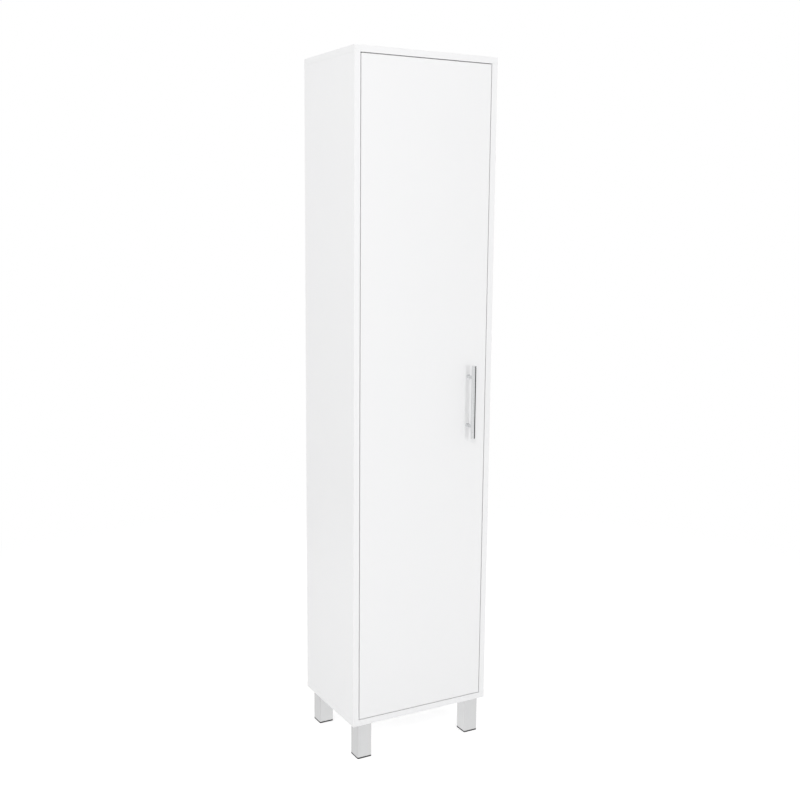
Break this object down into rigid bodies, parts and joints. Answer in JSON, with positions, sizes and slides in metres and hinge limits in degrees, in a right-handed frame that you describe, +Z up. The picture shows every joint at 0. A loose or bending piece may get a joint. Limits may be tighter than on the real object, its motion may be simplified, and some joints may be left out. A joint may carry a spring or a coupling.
{
  "type": "broom cupboard",
  "caption": "Tall narrow cupboard of white board on square metal legs, with an inset door on concealed hinges, a bar handle, an upper shelf and a full-height space below it.",
  "frame": {"origin": "on the floor, under the middle of the object's bounding box, handle included", "axes": "+Z up, the door and handle face -Y, +X to the right as the door is seen"},
  "size_m": [0.4, 0.322, 1.789],
  "materials": {
    "white_board": "chipboard with a smooth, slightly glossy white melamine face and white edging",
    "back_board": "thin fibreboard, white lacquered on the inside",
    "handle_chrome": "polished chrome",
    "leg_aluminium": "satin anodised square tube",
    "hinge_steel": "nickel-plated pressed steel",
    "fitting_steel": "zinc-plated screws, bolts, locks and pins",
    "black_plastic": "moulded black plastic"
  },
  "bodies": {
    "case": {"back_panel": "back_board", "bottom_panel": "white_board", "cam_bolt_lower_back_left": "fitting_steel", "cam_bolt_lower_back_right": "fitting_steel", "cam_bolt_lower_front_left": "fitting_steel", "cam_bolt_lower_front_right": "fitting_steel", "cam_bolt_upper_back_left": "fitting_steel", "cam_bolt_upper_back_right": "fitting_steel", "cam_bolt_upper_front_left": "fitting_steel", "cam_bolt_upper_front_right": "fitting_steel", "cam_lock_lower_back_left": "fitting_steel", "cam_lock_lower_back_right": "fitting_steel", "cam_lock_lower_front_left": "fitting_steel", "cam_lock_lower_front_right": "fitting_steel", "cam_lock_upper_back_left": "fitting_steel", "cam_lock_upper_back_right": "fitting_steel", "cam_lock_upper_front_left": "fitting_steel", "cam_lock_upper_front_right": "fitting_steel", "hinge_1_arm": "hinge_steel", "hinge_1_plate": "hinge_steel", "hinge_2_arm": "hinge_steel", "hinge_2_plate": "hinge_steel", "hinge_3_arm": "hinge_steel", "hinge_3_plate": "hinge_steel", "leg_foot_back_left": "black_plastic", "leg_foot_back_right": "black_plastic", "leg_foot_front_left": "black_plastic", "leg_foot_front_right": "black_plastic", "leg_stud_back_left": "black_plastic", "leg_stud_back_right": "black_plastic", "leg_stud_front_left": "black_plastic", "leg_stud_front_right": "black_plastic", "leg_tube_back_left": "leg_aluminium", "leg_tube_back_right": "leg_aluminium", "leg_tube_front_left": "leg_aluminium", "leg_tube_front_right": "leg_aluminium", "shelf": "white_board", "shelf_pin_back_left": "fitting_steel", "shelf_pin_back_right": "fitting_steel", "shelf_pin_front_left": "fitting_steel", "shelf_pin_front_right": "fitting_steel", "side_panel_left": "white_board", "side_panel_right": "white_board", "top_panel": "white_board"},
    "broad_links": {"hinge_1_broad_link": "hinge_steel", "hinge_2_broad_link": "hinge_steel", "hinge_3_broad_link": "hinge_steel"},
    "narrow_links": {"hinge_1_narrow_link": "hinge_steel", "hinge_2_narrow_link": "hinge_steel", "hinge_3_narrow_link": "hinge_steel"},
    "door": {"door_panel": "white_board", "handle_bar": "handle_chrome", "handle_post_lower": "handle_chrome", "handle_post_upper": "handle_chrome", "handle_screw_lower": "fitting_steel", "handle_screw_upper": "fitting_steel", "hinge_1_cup": "hinge_steel", "hinge_2_cup": "hinge_steel", "hinge_3_cup": "hinge_steel"}
  },
  "joints": [
    {"name": "broad_links_swing", "type": "hinge", "parent": "case", "child": "broad_links", "pos_m": [-0.15036, -0.12004, 0.942], "axis": [0, 0, -1], "range_deg": [0, 33.9]},
    {"name": "narrow_links_swing", "type": "hinge", "parent": "case", "child": "narrow_links", "pos_m": [-0.15526, -0.11912, 0.942], "axis": [0, 0, -1], "range_deg": [0, 58.7]},
    {"name": "door_swing", "type": "hinge", "parent": "broad_links", "child": "door", "pos_m": [-0.16815, -0.11909, 0.942], "axis": [0, 0, -1], "range_deg": [0, 61.18]}
  ],
  "couplings": [
    {"joint": "broad_links_swing", "follows": "door_swing", "ratio": 0.5528},
    {"joint": "narrow_links_swing", "follows": "door_swing", "ratio": 0.95808}
  ]
}
